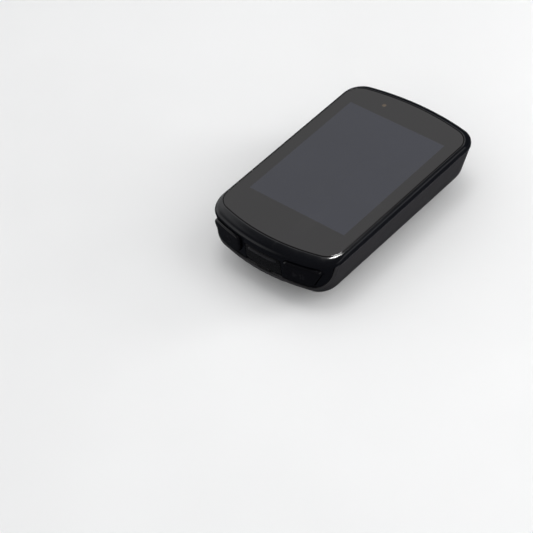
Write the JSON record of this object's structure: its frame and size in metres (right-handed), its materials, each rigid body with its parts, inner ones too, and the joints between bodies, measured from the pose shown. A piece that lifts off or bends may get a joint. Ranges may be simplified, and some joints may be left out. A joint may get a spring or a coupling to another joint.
{
  "type": "cycling computer",
  "caption": "Rectangular handlebar cycling computer with a tall colour display, side and lower-end buttons, a covered charging port and a quarter-turn insert on the back.",
  "frame": {"origin": "on the axis of the quarter-turn boss, at its outer end face", "axes": "+Z points out of the display, +Y to the display's top and the bicycle's front, +X to the rider's right"},
  "size_m": [0.05, 0.0811, 0.02],
  "materials": {
    "glass_dark": "smooth hardened glass with a printed dark border",
    "adhesive_black": "matte foam tape",
    "gloss_black": "high gloss black",
    "satin_black": "fine satin texture",
    "seal_rubber": "moulded silicone",
    "touch_glass": "clear sensor glass",
    "lcd": "switched-off display, cool grey",
    "backlight_white": "white reflector tray",
    "frame_alloy": "die-cast magnesium, as cast",
    "board_green": "solder mask",
    "chip_black": "moulded epoxy",
    "tin_steel": "tin plated sheet",
    "carrier_plastic": "natural moulding",
    "gold_plate": "gold plated",
    "sensor_amber": "amber window",
    "flex_amber": "polyimide film",
    "pouch_silver": "laminated pouch foil",
    "tape_foam": "double sided foam",
    "lead_red": "insulated wire",
    "membrane_white": "porous film",
    "cover_rubber": "smooth black elastomer",
    "button_gloss": "gloss black cap",
    "button_satin": "semi-gloss cap",
    "insert_plastic": "glass filled nylon",
    "screw_black": "black oxide",
    "screw_steel": "plain"
  },
  "bodies": {
    "unit": {"cover_glass": "glass_dark", "glass_adhesive": "adhesive_black", "front_bezel": "gloss_black", "rear_case": "satin_black", "case_seal": "seal_rubber", "end_panel_seal": "seal_rubber", "touch_sensor": "touch_glass", "lcd_panel": "lcd", "backlight": "backlight_white", "display_frame": "frame_alloy", "main_board": "board_green", "board_components": "chip_black", "processor_shield": "tin_steel", "radio_shield": "tin_steel", "processor": "chip_black", "radio_module": "chip_black", "memory_chip": "chip_black", "gps_antenna_carrier": "carrier_plastic", "gps_antenna": "gold_plate", "bluetooth_antenna": "gold_plate", "light_sensor": "sensor_amber", "sensor_flex": "flex_amber", "touch_flex": "flex_amber", "lcd_flex": "flex_amber", "battery_cell": "pouch_silver", "battery_protection_board": "board_green", "battery_tape": "tape_foam", "battery_leads": "lead_red", "battery_plug": "carrier_plastic", "battery_socket": "carrier_plastic", "buzzer": "gold_plate", "buzzer_gasket": "seal_rubber", "vent_membrane": "membrane_white", "pressure_sensor": "tin_steel", "start_button_seal": "seal_rubber", "lap_button_seal": "seal_rubber", "start_switch": "tin_steel", "lap_switch": "tin_steel", "usb_receptacle": "tin_steel", "usb_gasket": "seal_rubber", "usb_cover_anchor": "cover_rubber", "power_button_seal": "seal_rubber", "power_switch": "tin_steel", "mount_insert": "insert_plastic", "case_screws": "screw_black", "mount_screws": "screw_black", "board_screws": "screw_steel"},
    "start_button": {"start_button": "button_gloss"},
    "lap_button": {"lap_button": "button_gloss"},
    "power_button": {"power_button": "button_satin"},
    "usb_cover": {"usb_cover": "cover_rubber"},
    "start_switch_plunger": {"start_switch_plunger": "carrier_plastic"},
    "lap_switch_plunger": {"lap_switch_plunger": "carrier_plastic"},
    "power_switch_plunger": {"power_switch_plunger": "carrier_plastic"}
  },
  "joints": [
    {"name": "start_press", "type": "slide", "parent": "unit", "child": "start_button", "axis": [0, 1, 0], "range_m": [0, 0.0004]},
    {"name": "lap_press", "type": "slide", "parent": "unit", "child": "lap_button", "axis": [0, 1, 0], "range_m": [0, 0.0004]},
    {"name": "power_press", "type": "slide", "parent": "unit", "child": "power_button", "axis": [1, 0, 0], "range_m": [0, 0.0004]},
    {"name": "start_switch_press", "type": "slide", "parent": "unit", "child": "start_switch_plunger", "axis": [0, 1, 0], "range_m": [0, 0.0004]},
    {"name": "lap_switch_press", "type": "slide", "parent": "unit", "child": "lap_switch_plunger", "axis": [0, 1, 0], "range_m": [0, 0.0004]},
    {"name": "power_switch_press", "type": "slide", "parent": "unit", "child": "power_switch_plunger", "axis": [1, 0, 0], "range_m": [0, 0.0004]},
    {"name": "usb_cover_open", "type": "hinge", "parent": "unit", "child": "usb_cover", "pos_m": [0, -0.03898, 0.0091], "axis": [1, 0, 0], "range_deg": [0, 95]}
  ],
  "couplings": [
    {"joint": "start_switch_press", "follows": "start_press", "ratio": 1},
    {"joint": "lap_switch_press", "follows": "lap_press", "ratio": 1},
    {"joint": "power_switch_press", "follows": "power_press", "ratio": 1}
  ]
}
